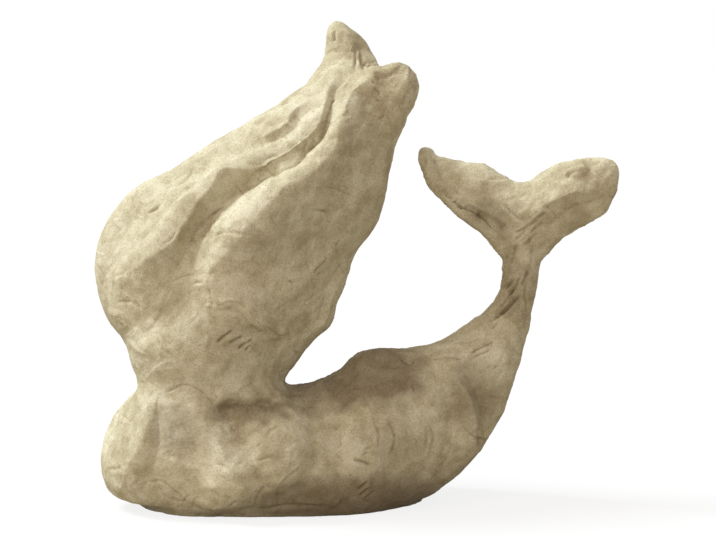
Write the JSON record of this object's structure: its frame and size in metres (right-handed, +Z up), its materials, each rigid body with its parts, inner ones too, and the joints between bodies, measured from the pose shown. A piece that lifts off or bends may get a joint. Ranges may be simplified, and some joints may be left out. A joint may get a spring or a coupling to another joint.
{
  "type": "papier-mache mermaid figurine",
  "caption": "Undecorated papier-mache mermaid lying on its front, chin over bent arms, with long hair swept up to pointed ends and a tail curled up to a wide fluke; stands on a flat card base.",
  "frame": {"origin": "on the flat underside of the base card, below the middle of the figure's length, on its mid plane", "axes": "+X from the hair's back towards the tail, +Y away from the side that the face looks to, +Z up"},
  "size_m": [0.1501, 0.0566, 0.1393],
  "materials": {
    "kraft_pulp": "matte, bare kraft paper over moulded pulp",
    "rolled_paper": "matte, twisted kraft paper",
    "grey_card": "matte, uncoated grey board",
    "wire_steel": "plain drawn wire"
  },
  "bodies": {
    "root": {"base_card": "grey_card", "body_shell_near": "kraft_pulp", "body_shell_far": "kraft_pulp", "tail_stem": "rolled_paper", "tail_wire": "wire_steel", "fluke_card": "grey_card", "fluke_pad_near": "kraft_pulp", "fluke_pad_far": "kraft_pulp", "head": "kraft_pulp", "neck_tube": "grey_card", "propped_arm": "kraft_pulp", "folded_arm": "kraft_pulp", "hair_shell_near": "kraft_pulp", "hair_shell_far": "kraft_pulp", "hair_tip_upper": "rolled_paper", "hair_tip_front": "rolled_paper"}
  },
  "joints": []
}
